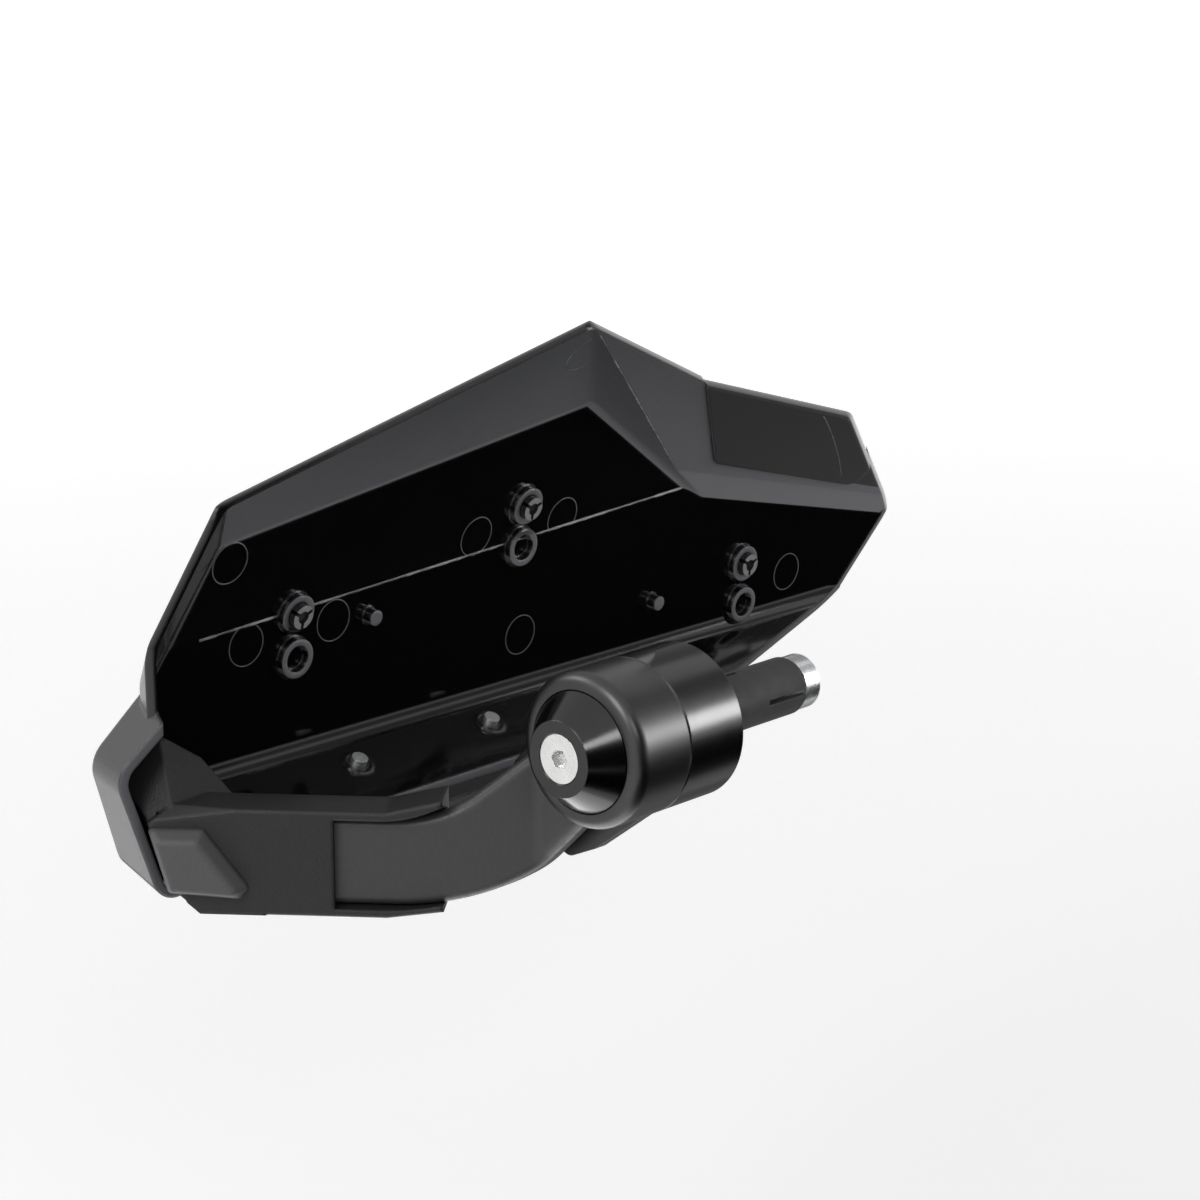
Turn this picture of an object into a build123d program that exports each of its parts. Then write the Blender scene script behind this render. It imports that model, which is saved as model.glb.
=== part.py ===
from build123d import *
import math
import os

# Hand guard for the left end of a motorcycle handlebar, held by the bar end alone.
# Millimetres. Origin: middle of the spacer's inner face, where it meets the bar end.
# +X runs inboard along the bar, +Y forward, +Z up.

os.makedirs("parts", exist_ok=True)


def normal_of(heading, pitch):
    """Unit vector: heading in degrees from +Y towards +X, pitch in degrees upward."""
    h, p = math.radians(heading), math.radians(pitch)
    return Vector(math.sin(h) * math.cos(p), math.cos(h) * math.cos(p), math.sin(p))


def facet(point, heading, pitch):
    """Flat side through a point; its normal points out of the body."""
    return Plane(origin=point, z_dir=normal_of(heading, pitch))


def on_facet(side, x, z):
    """Point of a steep facet at a given x and z."""
    o, n = side.origin, side.z_dir
    return Vector(x, o.Y - (n.X * (x - o.X) + n.Z * (z - o.Z)) / n.Y, z)


block_size = 600.0           # larger than anything cut out of it


def faceted(sides, move=0.0, folds=(), rims=()):
    """Solid inside all sides, each moved out alike; its folds rounded, then cut by the rims."""
    with BuildPart() as block:
        Box(block_size, block_size, block_size)
        for side in sides:
            split(bisect_by=side.offset(move), keep=Keep.BOTTOM)
        for radius, pairs in folds:
            picked = []
            for one, other in pairs:
                picked += fold(block.edges(), one.offset(move), other.offset(move))
            fillet(picked, radius + move)
        for rim in rims:
            split(bisect_by=rim, keep=Keep.BOTTOM)
    return block.part


def fold(edges, one, other):
    """Edges that lie on both facets."""
    def lies_on(edge, side):
        return all(abs(side.to_local_coords(edge @ t).Z) < 0.01 for t in (0, 0.5, 1))
    return edges.filter_by(lambda e: lies_on(e, one) and lies_on(e, other))


def inward(side, x, z):
    """Plane on a steep facet's inner face at a given x and z, facing into the body."""
    return Plane(origin=on_facet(side, x, z), z_dir=side.z_dir * -1)


def through(a, b, c):
    """Plane through three points, its normal out of the side from which they run anticlockwise."""
    return Plane(origin=a, x_dir=b - a, z_dir=(b - a).cross(c - a))


def meet(one, other, near):
    """Point on both of two planes, the nearest one to a given point."""
    n, m = one.z_dir, other.z_dir
    lean = n.dot(m)
    off_one = (near - one.origin).dot(n)
    off_other = (near - other.origin).dot(m)
    step = n * (off_one - lean * off_other) + m * (off_other - lean * off_one)
    return near - step * (1 / (1 - lean**2))


def turned(profile):
    """Solid turned about the X axis from (x, radius) corners."""
    with BuildPart() as body:
        with BuildSketch(Plane.XY):
            with BuildLine():
                Polyline(*profile, close=True)
            make_face()
        revolve(axis=Axis.X)
    return body.part


# Bar end stack, all turned about the X axis
bar_end_radius = 18.0        # hub and spacer share one outside radius
spacer_length = 18.5
hub_length = 16.5
cap_radius = 13.9
cap_clearance = 0.2
cap_seat_depth = 3.0
cap_height = 6.8
cap_face_radius = 8.7
screw_radius = 3.0           # M6
screw_clearance = 0.3
screw_head_radius = 5.65
screw_head_sink = 0.2
socket_across_flats = 4.0
socket_depth = 2.4

hub_outer_x = -(spacer_length + hub_length)
cap_face_x = hub_outer_x - cap_height
cap_seat_x = hub_outer_x + cap_seat_depth
screw_end_x = 44.0
edge_break = 0.6
hub_round = 3.0
lug_gap = 1.0                # between the arm and the lug beside it
lug_length = 33.5            # bar axis to the end of the lug
lug_top = 14.5               # half widths of the lug, above and below the middle of the arm
lug_end_bottom = 11.0
lug_waist = 24.7             # bar axis to where the lug starts to narrow
lug_bottom = 14.2
lug_root = 6.0
lug_root_bottom = 16.8
lug_corner = 3.0
bore_radius = screw_radius + screw_clearance

# Expander that grips inside the bar
expander_radius = 6.9
expander_length = 30.0
expander_start = 5.0
expander_bore = 3.6
cone_mouth_radius = 5.6
cone_depth = 8.0
cone_step = 1.0
cone_nose = 6.0              # length of each plug inside the sleeve
cone_body_radius = 6.5
cone_seat_depth = 2.0        # the front plug stands in a recess of the spacer
cone_seat_clearance = 0.2
nut_tail = 5.0
thread_gap = 0.05
slit_width = 1.2
slit_length = 13.0
expander_end = expander_start + expander_length

# Arm: a flat bar bent once sideways and once upright
arm_thickness = 7.0
arm_width = 21.0
arm_x = -26.5                # middle of the tongue inside the hub
arm_drop = 32.2              # bar axis down to the middle of the level part
arm_dive = 45.0              # degrees below level where it leaves the hub
arm_bend_radius = 30.0
arm_kick = 38.0              # degrees outboard, seen from above
arm_kick_y = 18.5
arm_kick_radius = 8.0
arm_tip_y = 88.5
arm_edge = 2.4
slot_clearance = 0.15

# Shell facets, measured on the inner face; the outside follows one wall further out
wall = 2.3
panel_y = 100.0              # bar axis forward to the fold across the panel
panel_fold_z = 14.3          # height of that fold beside the bar end
peak_x = 40.2                # highest point of the rim
peak_y = 64.7
peak_z = 76.5
inner_reach = 199.5          # bar end to the inboard end of the shell
outer_reach = 89.4           # bar end to the ridge of the pod
bottom_z = -24.5             # front edge of the bottom wall

panel_middle = (15, panel_y, panel_fold_z)
panel_upper = facet(panel_middle, 0, 14.5)
panel_lower = facet(panel_middle, 0.4, 6.5)
roof = facet((-50, panel_y - 5.3, panel_fold_z + 20.5), -4.8, 41.9)
peak = (peak_x, peak_y, peak_z)
peak_flank = facet((peak_x + 32.2, peak_y + 31.2, peak_z - 31.6), 55.2, 54.3)
wing = facet(peak, 10.2, 39.3)
wing_foot = facet((peak_x + 75.5, panel_y - 0.9, panel_fold_z + 1.7), 5.4, 26.0)
inner_end = facet((inner_reach, panel_y + 1.5, -11), 60.2, -36.6)
bottom = facet((0, panel_y + 4.4, bottom_z), 0, -64.4)
bevel = facet((-58, panel_y - 3.6, panel_fold_z + 14.1), -32, 25.5)
flank = facet((10.9 - outer_reach, panel_y - 10, 0), -61.4, 0)
pod_corner = (-outer_reach, panel_y - 10, -13.2)
pod_upper = facet(pod_corner, -72, 47.8)
pod_lower = facet(pod_corner, -72, -18)
pod_floor = facet((17.4 - outer_reach, panel_y, bottom_z - 15.5), 90, -78)
pod_inside = facet((27.4 - outer_reach, panel_y, bottom_z), 90, 0)

# Rim cuts, all facing the rider
rim_roof = facet(peak, -163, 22.2)
rim_wing = facet(peak, 165.3, 21.9)
rim_end = facet((inner_reach - 41.3, panel_y - 21.8, 34.7), 150.4, 5.1)
rim_tail = facet((inner_reach + 5.7, panel_y + 0.2, -1.5), 163.2, -21.3)
rim_outer = facet((24.1 - outer_reach, panel_y - 16.2, 45.5), -140, 2)
rim_pod = facet(pod_corner, -165, 0)
rim_bottom_y = panel_y - 16.5
rim_bottom_top = -10.0
wing_start = facet(peak, -90, 0)
peak_corner = 6.0            # radii of the rim's corners, from the peak to both ends
wing_corner = 4.5
tip_corner = 3.0
outer_corner = 18.0
rim_edge = 1.0               # depth that is broken off the rim's outer edge


def rim_break(side, rim):
    """Plane that breaks the sharp edge between a side's outer face and a rim."""
    edge = meet(side.offset(wall), rim, rim.origin)
    return Plane(origin=edge, z_dir=side.z_dir + rim.z_dir).offset(-rim_edge)


main_sides = (panel_upper, panel_lower, roof, peak_flank, inner_end, bottom, bevel, flank)
main_rims = (rim_roof, rim_wing, rim_end, rim_outer, rim_tail,
             rim_break(roof, rim_roof), rim_break(bevel, rim_outer), rim_break(flank, rim_outer))
wing_sides = (panel_upper, panel_lower, wing, wing_foot, inner_end, bottom)
wing_rims = (wing_start, rim_wing, rim_end, rim_tail)
pod_sides = (panel_upper, panel_lower, pod_upper, pod_lower, pod_floor)
pod_rims = (pod_inside, rim_pod)
main_folds = (
    (8, [(roof, bevel)]),
    (3, [(panel_upper, roof), (panel_upper, peak_flank), (roof, peak_flank),
         (panel_upper, bevel), (panel_lower, bevel)]),
    (5, [(panel_lower, bottom), (panel_lower, flank), (bevel, flank)]),
)
wing_folds = (
    (5, [(panel_lower, bottom)]),
    (4, [(inner_end, panel_lower), (inner_end, wing_foot)]),
)
pod_folds = (
    (5, [(pod_upper, pod_lower)]),
    (3, [(pod_lower, pod_floor), (panel_lower, pod_floor)]),
)

# Rim of the wing dips between three corners; across and up from the peak, as is the pad
wing_dip = ((0, 0), (50.5, -29.5), (113.7, -54))

# Pad on the wing, raised inside and sunk outside; corners across and up from the peak
pad_rise = 1.0
pad_corner_radius = 5.0
pad_corners = ((44, -20), (71.3, -65), (141, -90.2), (116, -40))

# Ring bosses and clips on the floor panel
boss_radius = 5.0
boss_height = 2.0
boss_root = 1.0
ring_bore = 3.4
clip_hole_radius = 3.25
clip_shank_radius = 3.1
clip_pin_radius = 1.5
clip_pin_clearance = 0.1
clip_head_radius = 6.5
clip_head_height = 1.8
clip_head_taper = 30         # degrees that the head's side leans in
clip_pin_head = 2.6
clip_pin_cap = 0.8
clip_pin_taper = 20
clip_reach = 1.8
clip_slit = 0.9
peg_radius = 2.0
peg_height = 3.0
clip_spots = (inward(panel_upper, -27.6, 12.2), inward(panel_upper, 48.5, 26.0),
              inward(panel_lower, inner_reach - 59.6, -7.3))
ring_spots = (inward(panel_lower, -27.1, 0.5), inward(panel_lower, 49.4, 14.4),
              inward(panel_lower, inner_reach - 58.6, -19.5))
peg_spots = (inward(panel_lower, -2.5, 6.2), inward(panel_lower, 103.6, -11.4))

# Screwed foot under the bottom wall
foot_screw_x = (-12.3, 34.0)
foot_screw_y = panel_y - 4.6
foot_thickness = 4.0
foot_screw_radius = 2.0      # M4
foot_screw_clearance = 0.25
foot_head_radius = 3.8
foot_head_height = 2.2
foot_head_taper = 20
foot_socket = 2.5            # across flats
washer_radius = 5.0
washer_thickness = 1.0
insert_radius = 2.8
insert_boss = 4.0
insert_boss_height = 0.6
foot_tip = 1.6
foot_corners = ((-72, 3), (44, 3), (36, 28), (-72, 28))   # along X, and down from the fold
foot_corner = 4.0
foot_spots = [Plane(origin=on_facet(bottom, x, bottom.origin.Z + (foot_screw_y - bottom.origin.Y)
                                    * -bottom.z_dir.Y / bottom.z_dir.Z), z_dir=bottom.z_dir * -1)
              for x in foot_screw_x]

# Carrier: a channel over the arm, an end block inside the pod and the foot
carrier_wall = 2.0
carrier_clearance = 0.2
carrier_back = 2.6
beam_top = -19.5
beam_bottom = -44.8
beam_zero = 47.8             # from the sideways bend to the window's mouth
beam_reach = 40.0            # mouth to the heel
beam_gap = 0.8               # inside the pod
ledge_start = 37.5           # the beam's top slopes down from here to the ledge beside the plug
ledge_reach = 42.8
ledge_top = -23.5
slope_reach = 19.0           # long narrow bevel along the beam's top front edge
slope_depth = 3.1
slope_drop = 2.6
flange_reach = 25.0          # mouth to the flange tips
flange_tip_top = -16.4
flange_tip_bottom = -43.0
flange_bend = 12.0
heel_start = 31.0
heel_top = -37.0
pod_gap = 1.5
panel_gap = 1.0
notch_gap = 0.6
horn_top = -7.5
arm_tip_wall = 2.5
carrier_round = 0.8

kick = math.radians(arm_kick)
along = Vector(-math.sin(kick), math.cos(kick), 0)
outward = Vector(-math.cos(kick), -math.sin(kick), 0)
face_offset = arm_thickness / 2 + carrier_clearance + carrier_wall
beam_depth = arm_thickness + 2 * carrier_clearance + carrier_wall + carrier_back
mouth = Vector(arm_x, arm_kick_y, 0) + along * beam_zero
carrier_face = Plane(origin=mouth + outward * face_offset, x_dir=along * -1, z_dir=outward)

heel_slope = math.atan2(heel_top - beam_bottom, beam_reach - heel_start)
heel = Plane(origin=carrier_face.from_local_coords((-heel_start, beam_bottom, 0)),
             z_dir=along * math.sin(heel_slope) - Vector(0, 0, math.cos(heel_slope)))

beam_slope = through(carrier_face.from_local_coords((-slope_reach, beam_top, 0)),
                     carrier_face.from_local_coords((-ledge_start, beam_top, -slope_depth)),
                     carrier_face.from_local_coords((-ledge_start, beam_top - slope_drop, 0)))

end_sides = (
    carrier_face,
    facet((6.5 - outer_reach, panel_y - 3, -16.4), -104.7, 31.5),
    facet((8.2 - outer_reach, panel_y - 16, -19.1), 175.7, 37.2),
    facet((17.4 - outer_reach, panel_y - 5, -9.3), 90, 53),
    facet((22.8 - outer_reach, panel_y - 11, -14), 90, 26),
    facet((0, 0, horn_top), 0, 90),
    pod_upper.offset(-pod_gap),
    pod_lower.offset(-pod_gap),
    panel_lower.offset(-panel_gap),
    facet((0, 0, beam_bottom), 0, -90),
    heel,
    facet((31.4 - outer_reach, 0, 0), 90, 0),
)
beam_outline = ((-ledge_reach, ledge_top), (-ledge_start, beam_top), (flange_bend, beam_top),
                (flange_reach, flange_tip_top),
                (flange_reach, flange_tip_bottom), (flange_bend, beam_bottom),
                (-heel_start, beam_bottom), (-beam_reach, heel_top))

# Plug over the arm bolt, on the carrier's outer face, as (towards the bar, up)
plug_corners = ((-42.7, -24.2), (-29.6, -24.1), (-19.2, -38), (-21.5, -41), (-38.2, -40))
plug_height = 4.5
plug_taper = 25              # degrees that the sides lean in
plug_roof = 1.4
plug_round = 1.2
bolt_radius = 2.5            # M5
bolt_clearance = 0.25
bolt_head_radius = 4.25
bolt_head_height = 2.5
bolt_head_taper = 25
bolt_socket = 3.0            # across flats
bolt_length = 8.5
bolt_spot = (-32.4, -arm_drop)

def arm_side(extra):
    """Side view of the bent bar, run straight across in X."""
    dive = math.tan(math.radians(arm_dive))
    with BuildPart() as side:
        with BuildSketch(Plane.YZ.offset(-block_size / 2)):
            with BuildLine():
                FilletPolyline((0, 0), (arm_drop / dive, -arm_drop), (2 * arm_tip_y, -arm_drop),
                               radius=arm_bend_radius)
            trace(line_width=arm_width + 2 * extra)
            Circle(arm_width / 2 + extra)
        extrude(amount=block_size)
    return side.part

def arm_blank(extra):
    """The bent bar: its plan run upright and kept inside its side view, grown by extra."""
    tip_x = arm_x - math.tan(kick) * (arm_tip_y - arm_kick_y)
    with BuildPart() as bar:
        with BuildSketch(Plane.XY.offset(-2 * arm_drop)):
            with BuildLine():
                FilletPolyline((arm_x, -arm_width), (arm_x, arm_kick_y), (tip_x, arm_tip_y),
                               radius=arm_kick_radius)
            trace(line_width=arm_thickness + 2 * extra)
        extrude(amount=3 * arm_drop)
        add(arm_side(extra), mode=Mode.INTERSECT)
    return bar.part

def beam(extra):
    """The carrier's straight part as a full block, grown by extra."""
    with BuildPart() as block:
        with BuildSketch(carrier_face.offset(extra)):
            with BuildLine():
                Polyline(*beam_outline, close=True)
            make_face()
            if extra:
                offset(amount=extra, kind=Kind.INTERSECTION)
        extrude(amount=-beam_depth - 2 * extra)
        split(bisect_by=pod_lower.offset(extra - beam_gap), keep=Keep.BOTTOM)
        split(bisect_by=beam_slope.offset(extra), keep=Keep.BOTTOM)
    return block.part


def plug_sides():
    """Sides of the plug: its roof, its seat and its outline leaning in."""
    lean = math.radians(plug_taper)
    corners = [carrier_face.from_local_coords((x, z, 0)) for x, z in plug_corners]
    sides = [carrier_face.offset(plug_height), Plane(origin=corners[0], z_dir=outward * -1)]
    for start, end in zip(corners, corners[1:] + corners[:1]):
        aside = outward.cross(end - start).normalized()
        sides.append(Plane(origin=start, z_dir=aside * math.cos(lean) + outward * math.sin(lean)))
    return sides


with BuildPart() as hollow:
    add(faceted(main_sides, 0, main_folds))
    add(faceted(wing_sides, 0, wing_folds, wing_rims))
    add(faceted(pod_sides, 0, pod_folds, pod_rims))

pad_plane = Plane(origin=peak, x_dir=(wing.z_dir.Y, -wing.z_dir.X, 0), z_dir=wing.z_dir * -1)

def pad_block(start, height):
    """Block with the pad's outline, from a level below the wing's inner face."""
    with BuildPart() as block:
        with BuildSketch(pad_plane.offset(start)):
            with BuildLine():
                Polyline(*pad_corners, close=True)
            make_face()
            fillet(vertices(), pad_corner_radius)
        extrude(amount=height)
        split(bisect_by=rim_wing, keep=Keep.BOTTOM)
        split(bisect_by=rim_end, keep=Keep.BOTTOM)
    return block.part

def wing_run(start, end):
    """Plane square to the wing along one run of its dipped rim, facing out of the rim."""
    a = pad_plane.from_local_coords((*start, 0))
    b = pad_plane.from_local_coords((*end, 0))
    return Plane(origin=a, z_dir=(b - a).cross(wing.z_dir))


def corner_cut(one, other, near, radius):
    """Block that rounds the corner of the rim where two planes meet, near a point."""
    n, m = one.z_dir, other.z_dir
    half_turn = math.acos(n.dot(m)) / 2
    reach = radius * math.tan(half_turn)
    start = (reach * math.sin(half_turn), reach * math.cos(half_turn))
    aside = (start[0] - wall * math.cos(half_turn), start[1] + wall * math.sin(half_turn))
    with BuildPart() as block:
        with BuildSketch(Plane(origin=meet(one, other, near), x_dir=(n + m) * -1, z_dir=n.cross(m))):
            with BuildLine():
                Polyline(start, aside, (aside[0], -aside[1]), (start[0], -start[1]), close=True)
            make_face()
            with Locations((radius / math.cos(half_turn), 0)):
                Circle(radius, mode=Mode.SUBTRACT)
        extrude(amount=4 * wall, both=True)
    return block.part


first_run, second_run = [wing_run(start, end) for start, end in zip(wing_dip, wing_dip[1:])]
rim_corners = (
    (rim_roof, first_run, peak_corner),
    (second_run, rim_end, wing_corner),
    (rim_end, rim_tail, tip_corner),
    (rim_roof, rim_outer, outer_corner),
)

with BuildPart() as shell:
    add(faceted(main_sides, wall, main_folds, main_rims))
    add(faceted(wing_sides, wall, wing_folds, wing_rims))
    add(faceted(pod_sides, wall, pod_folds, pod_rims))
    add(hollow.part, mode=Mode.SUBTRACT)
    add(pad_block(-wall / 2, wall / 2 + pad_rise))
    add(pad_block(-wall, pad_rise), mode=Mode.SUBTRACT)
    with Locations((0, rim_bottom_y, rim_bottom_top)):
        Box(block_size, block_size, block_size, mode=Mode.SUBTRACT,
            align=(Align.CENTER, Align.MAX, Align.MAX))
    with BuildSketch(pad_plane):
        with BuildLine():
            Polyline(*wing_dip, (wing_dip[-1][0], 3 * wall), (0, 3 * wall), close=True)
        make_face()
    extrude(amount=3 * wall, both=True, mode=Mode.SUBTRACT)
    for one, other, radius in rim_corners:
        add(corner_cut(one, other, other.origin, radius), mode=Mode.SUBTRACT)
    add(faceted(end_sides, notch_gap), mode=Mode.SUBTRACT)
    add(beam(notch_gap), mode=Mode.SUBTRACT)
    for spot in (*clip_spots, *ring_spots):
        with BuildSketch(spot.offset(-boss_root)):
            Circle(boss_radius)
        extrude(amount=boss_root + boss_height)
    for spot in peg_spots:
        with BuildSketch(spot.offset(-boss_root)):
            Circle(peg_radius)
        extrude(amount=boss_root + peg_height)
    for spot in foot_spots:
        with BuildSketch(spot.offset(-boss_root)):
            Circle(insert_boss)
        extrude(amount=boss_root + insert_boss_height)
        with BuildSketch(spot.offset(insert_boss_height)):
            Circle(insert_radius)
        extrude(amount=-insert_boss_height - 2 * wall, mode=Mode.SUBTRACT)
    for spot in ring_spots:
        with BuildSketch(spot.offset(boss_height)):
            Circle(ring_bore)
        extrude(amount=-boss_height, mode=Mode.SUBTRACT)
    for spot in clip_spots:
        with BuildSketch(spot.offset(boss_height)):
            Circle(clip_hole_radius)
        extrude(amount=-boss_height - 2 * wall, mode=Mode.SUBTRACT)
shell.part.label = "shell"
export_step(shell.part, "parts/shell.step")

def clip_body(spot):
    """Push rivet: head outside, slit shank through the panel and its boss."""
    with BuildPart() as body:
        with BuildSketch(spot.offset(-wall)):
            Circle(clip_head_radius)
        extrude(amount=-clip_head_height, taper=clip_head_taper)
        with BuildSketch(spot.offset(-wall)):
            Circle(clip_shank_radius)
        extrude(amount=wall + boss_height + clip_reach)
        with BuildSketch(spot.offset(boss_height + clip_reach)):
            with PolarLocations(clip_shank_radius / 2, 3):
                Rectangle(clip_shank_radius, clip_slit)
        extrude(amount=-clip_reach - boss_height, mode=Mode.SUBTRACT)
        with BuildSketch(spot.offset(boss_height + clip_reach)):
            Circle(clip_pin_radius + clip_pin_clearance)
        extrude(amount=-2 * (boss_height + clip_reach + wall), mode=Mode.SUBTRACT)
    return body.part

def clip_pin(spot):
    """Pin pushed through a rivet from outside."""
    with BuildPart() as body:
        with BuildSketch(spot.offset(-wall - clip_head_height)):
            Circle(clip_pin_head)
        extrude(amount=-clip_pin_cap, taper=clip_pin_taper)
        with BuildSketch(spot.offset(-wall - clip_head_height)):
            Circle(clip_pin_radius)
        extrude(amount=wall + clip_head_height + boss_height + clip_reach - edge_break)
    return body.part

with BuildPart() as clip_bodies:
    for spot in clip_spots:
        add(clip_body(spot))
clip_bodies.part.label = "clip_bodies"
export_step(clip_bodies.part, "parts/clip_bodies.step")

with BuildPart() as clip_pins:
    for spot in clip_spots:
        add(clip_pin(spot))
clip_pins.part.label = "clip_pins"
export_step(clip_pins.part, "parts/clip_pins.step")

with BuildPart() as foot_inserts:
    for spot in foot_spots:
        with BuildSketch(spot.offset(insert_boss_height)):
            Circle(insert_radius)
            Circle(foot_screw_radius + thread_gap, mode=Mode.SUBTRACT)
        extrude(amount=-insert_boss_height - wall)
foot_inserts.part.label = "foot_inserts"
export_step(foot_inserts.part, "parts/foot_inserts.step")

head_level = -wall - foot_thickness - washer_thickness
with BuildPart() as foot_screws:
    for spot in foot_spots:
        with BuildSketch(spot.offset(insert_boss_height + foot_tip)):
            Circle(foot_screw_radius)
        extrude(amount=head_level - insert_boss_height - foot_tip)
        with BuildSketch(spot.offset(head_level)):
            Circle(foot_head_radius)
        extrude(amount=-foot_head_height, taper=foot_head_taper)
        with BuildSketch(spot.offset(head_level - foot_head_height)):
            RegularPolygon(foot_socket / 2, 6, major_radius=False)
        extrude(amount=foot_head_height / 2, mode=Mode.SUBTRACT)
foot_screws.part.label = "foot_screws"
export_step(foot_screws.part, "parts/foot_screws.step")

with BuildPart() as foot_washers:
    for spot in foot_spots:
        with BuildSketch(spot.offset(-wall - foot_thickness)):
            Circle(washer_radius)
            Circle(foot_screw_radius + foot_screw_clearance, mode=Mode.SUBTRACT)
        extrude(amount=-washer_thickness)
foot_washers.part.label = "foot_washers"
export_step(foot_washers.part, "parts/foot_washers.step")

with BuildPart() as arm:
    add(arm_blank(0))
    across = arm.edges().filter_by(lambda e: abs(e.length - arm_thickness) < 0.01)
    fillet([e for e in arm.edges() if e not in across], arm_edge)
    split(bisect_by=pod_lower.offset(-pod_gap - arm_tip_wall), keep=Keep.BOTTOM)
    split(bisect_by=heel.offset(-arm_tip_wall), keep=Keep.BOTTOM)
    with BuildSketch(Plane.YZ.offset(arm_x - arm_thickness)):
        Circle(bore_radius)
    extrude(amount=2 * arm_thickness, mode=Mode.SUBTRACT)
    with BuildSketch(carrier_face):
        with Locations(bolt_spot):
            Circle(bolt_radius + thread_gap)
    extrude(amount=-beam_depth, mode=Mode.SUBTRACT)
arm.part.label = "arm"
export_step(arm.part, "parts/arm.step")

with BuildPart() as hub:
    add(turned([(hub_outer_x, bore_radius), (hub_outer_x, bar_end_radius), (-spacer_length, bar_end_radius),
                (-spacer_length, bore_radius)]))
    fillet(hub.edges().group_by(Axis.X)[0].sort_by(SortBy.RADIUS)[-1], hub_round)
    lug_start = arm_x + arm_thickness / 2 + lug_gap
    dive = Plane(origin=(lug_start, 0, 0), x_dir=(0, math.cos(math.radians(arm_dive)),
                 -math.sin(math.radians(arm_dive))), z_dir=(1, 0, 0))
    with BuildSketch(dive):
        with BuildLine():
            Polyline((0, lug_top), (lug_length, lug_top), (lug_length, -lug_end_bottom),
                     (lug_waist, -lug_bottom), (lug_root, -lug_root_bottom), (0, 0), close=True)
        make_face()
        fillet(vertices().group_by(Axis.X)[-1], lug_corner)
    extrude(amount=-spacer_length - lug_start)
    add(arm_blank(slot_clearance), mode=Mode.SUBTRACT)
    add(turned([(hub_outer_x - edge_break, 0), (hub_outer_x - edge_break, cap_radius + cap_clearance),
                (cap_seat_x, cap_radius + cap_clearance), (cap_seat_x, 0)]), mode=Mode.SUBTRACT)
    with BuildSketch(Plane.YZ.offset(hub_outer_x)):
        Circle(bore_radius)
    extrude(amount=hub_length, mode=Mode.SUBTRACT)
hub.part.label = "hub"
export_step(hub.part, "parts/hub.step")

# The screw's head and the cap share one 90 degree cone
head_face_x = cap_face_x + screw_head_sink
sink_x = head_face_x + screw_head_radius - bore_radius
with BuildPart() as cap:
    add(turned([(cap_face_x, screw_head_radius + screw_head_sink), (cap_face_x, cap_face_radius),
                (hub_outer_x, cap_radius), (cap_seat_x, cap_radius), (cap_seat_x, bore_radius),
                (sink_x, bore_radius)]))
cap.part.label = "cap"
export_step(cap.part, "parts/cap.step")

with BuildPart() as bar_screw:
    add(turned([(head_face_x, 0), (head_face_x, screw_head_radius),
                (head_face_x + screw_head_radius - screw_radius, screw_radius),
                (screw_end_x, screw_radius), (screw_end_x, 0)]))
    with BuildSketch(Plane.YZ.offset(head_face_x)):
        RegularPolygon(socket_across_flats / 2, 6, major_radius=False)
    extrude(amount=socket_depth, mode=Mode.SUBTRACT)
bar_screw.part.label = "bar_screw"
export_step(bar_screw.part, "parts/bar_screw.step")

with BuildPart() as spacer:
    add(turned([(-spacer_length, bore_radius), (-spacer_length, bar_end_radius),
                (0, bar_end_radius), (0, cone_body_radius + cone_seat_clearance),
                (-cone_seat_depth, cone_body_radius + cone_seat_clearance), (-cone_seat_depth, bore_radius)]))
    chamfer(spacer.edges().filter_by(GeomType.CIRCLE).sort_by(SortBy.RADIUS)[-2:], edge_break)
spacer.part.label = "spacer"
export_step(spacer.part, "parts/spacer.step")

# Expander: both mouths of the sleeve and both plugs share one cone
cone_slope = (cone_mouth_radius - expander_bore) / cone_depth
with BuildPart() as expander_sleeve:
    add(turned([(expander_start, cone_mouth_radius), (expander_start, expander_radius),
                (expander_end, expander_radius), (expander_end, cone_mouth_radius),
                (expander_end - cone_depth, expander_bore), (expander_start + cone_depth, expander_bore)]))
    for turn, start, way in ((0, expander_start, 1), (90, expander_end, -1)):
        with BuildSketch(Plane.YZ.offset(start)):
            Rectangle(slit_width, 4 * expander_radius, rotation=turn)
        extrude(amount=way * slit_length, mode=Mode.SUBTRACT)
expander_sleeve.part.label = "expander_sleeve"
export_step(expander_sleeve.part, "parts/expander_sleeve.step")

with BuildPart() as front_cone:
    add(turned([(-cone_seat_depth, bore_radius), (-cone_seat_depth, cone_body_radius),
                (expander_start - cone_step, cone_body_radius),
                (expander_start - cone_step, cone_mouth_radius + cone_slope * cone_step),
                (expander_start + cone_nose, cone_mouth_radius - cone_slope * cone_nose),
                (expander_start + cone_nose, bore_radius)]))
front_cone.part.label = "front_cone"
export_step(front_cone.part, "parts/front_cone.step")

nut_bore = screw_radius + thread_gap
with BuildPart() as cone_nut:
    add(turned([(expander_end + cone_step + nut_tail, nut_bore),
                (expander_end + cone_step + nut_tail, cone_body_radius),
                (expander_end + cone_step, cone_body_radius),
                (expander_end + cone_step, cone_mouth_radius + cone_slope * cone_step),
                (expander_end - cone_nose, cone_mouth_radius - cone_slope * cone_nose),
                (expander_end - cone_nose, nut_bore)]))
cone_nut.part.label = "cone_nut"
export_step(cone_nut.part, "parts/cone_nut.step")

with BuildPart() as window:
    add(arm_side(carrier_clearance))
    split(bisect_by=Plane(origin=mouth, z_dir=along), keep=Keep.BOTTOM)
    split(bisect_by=Plane(origin=mouth, z_dir=outward), keep=Keep.TOP)

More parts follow.
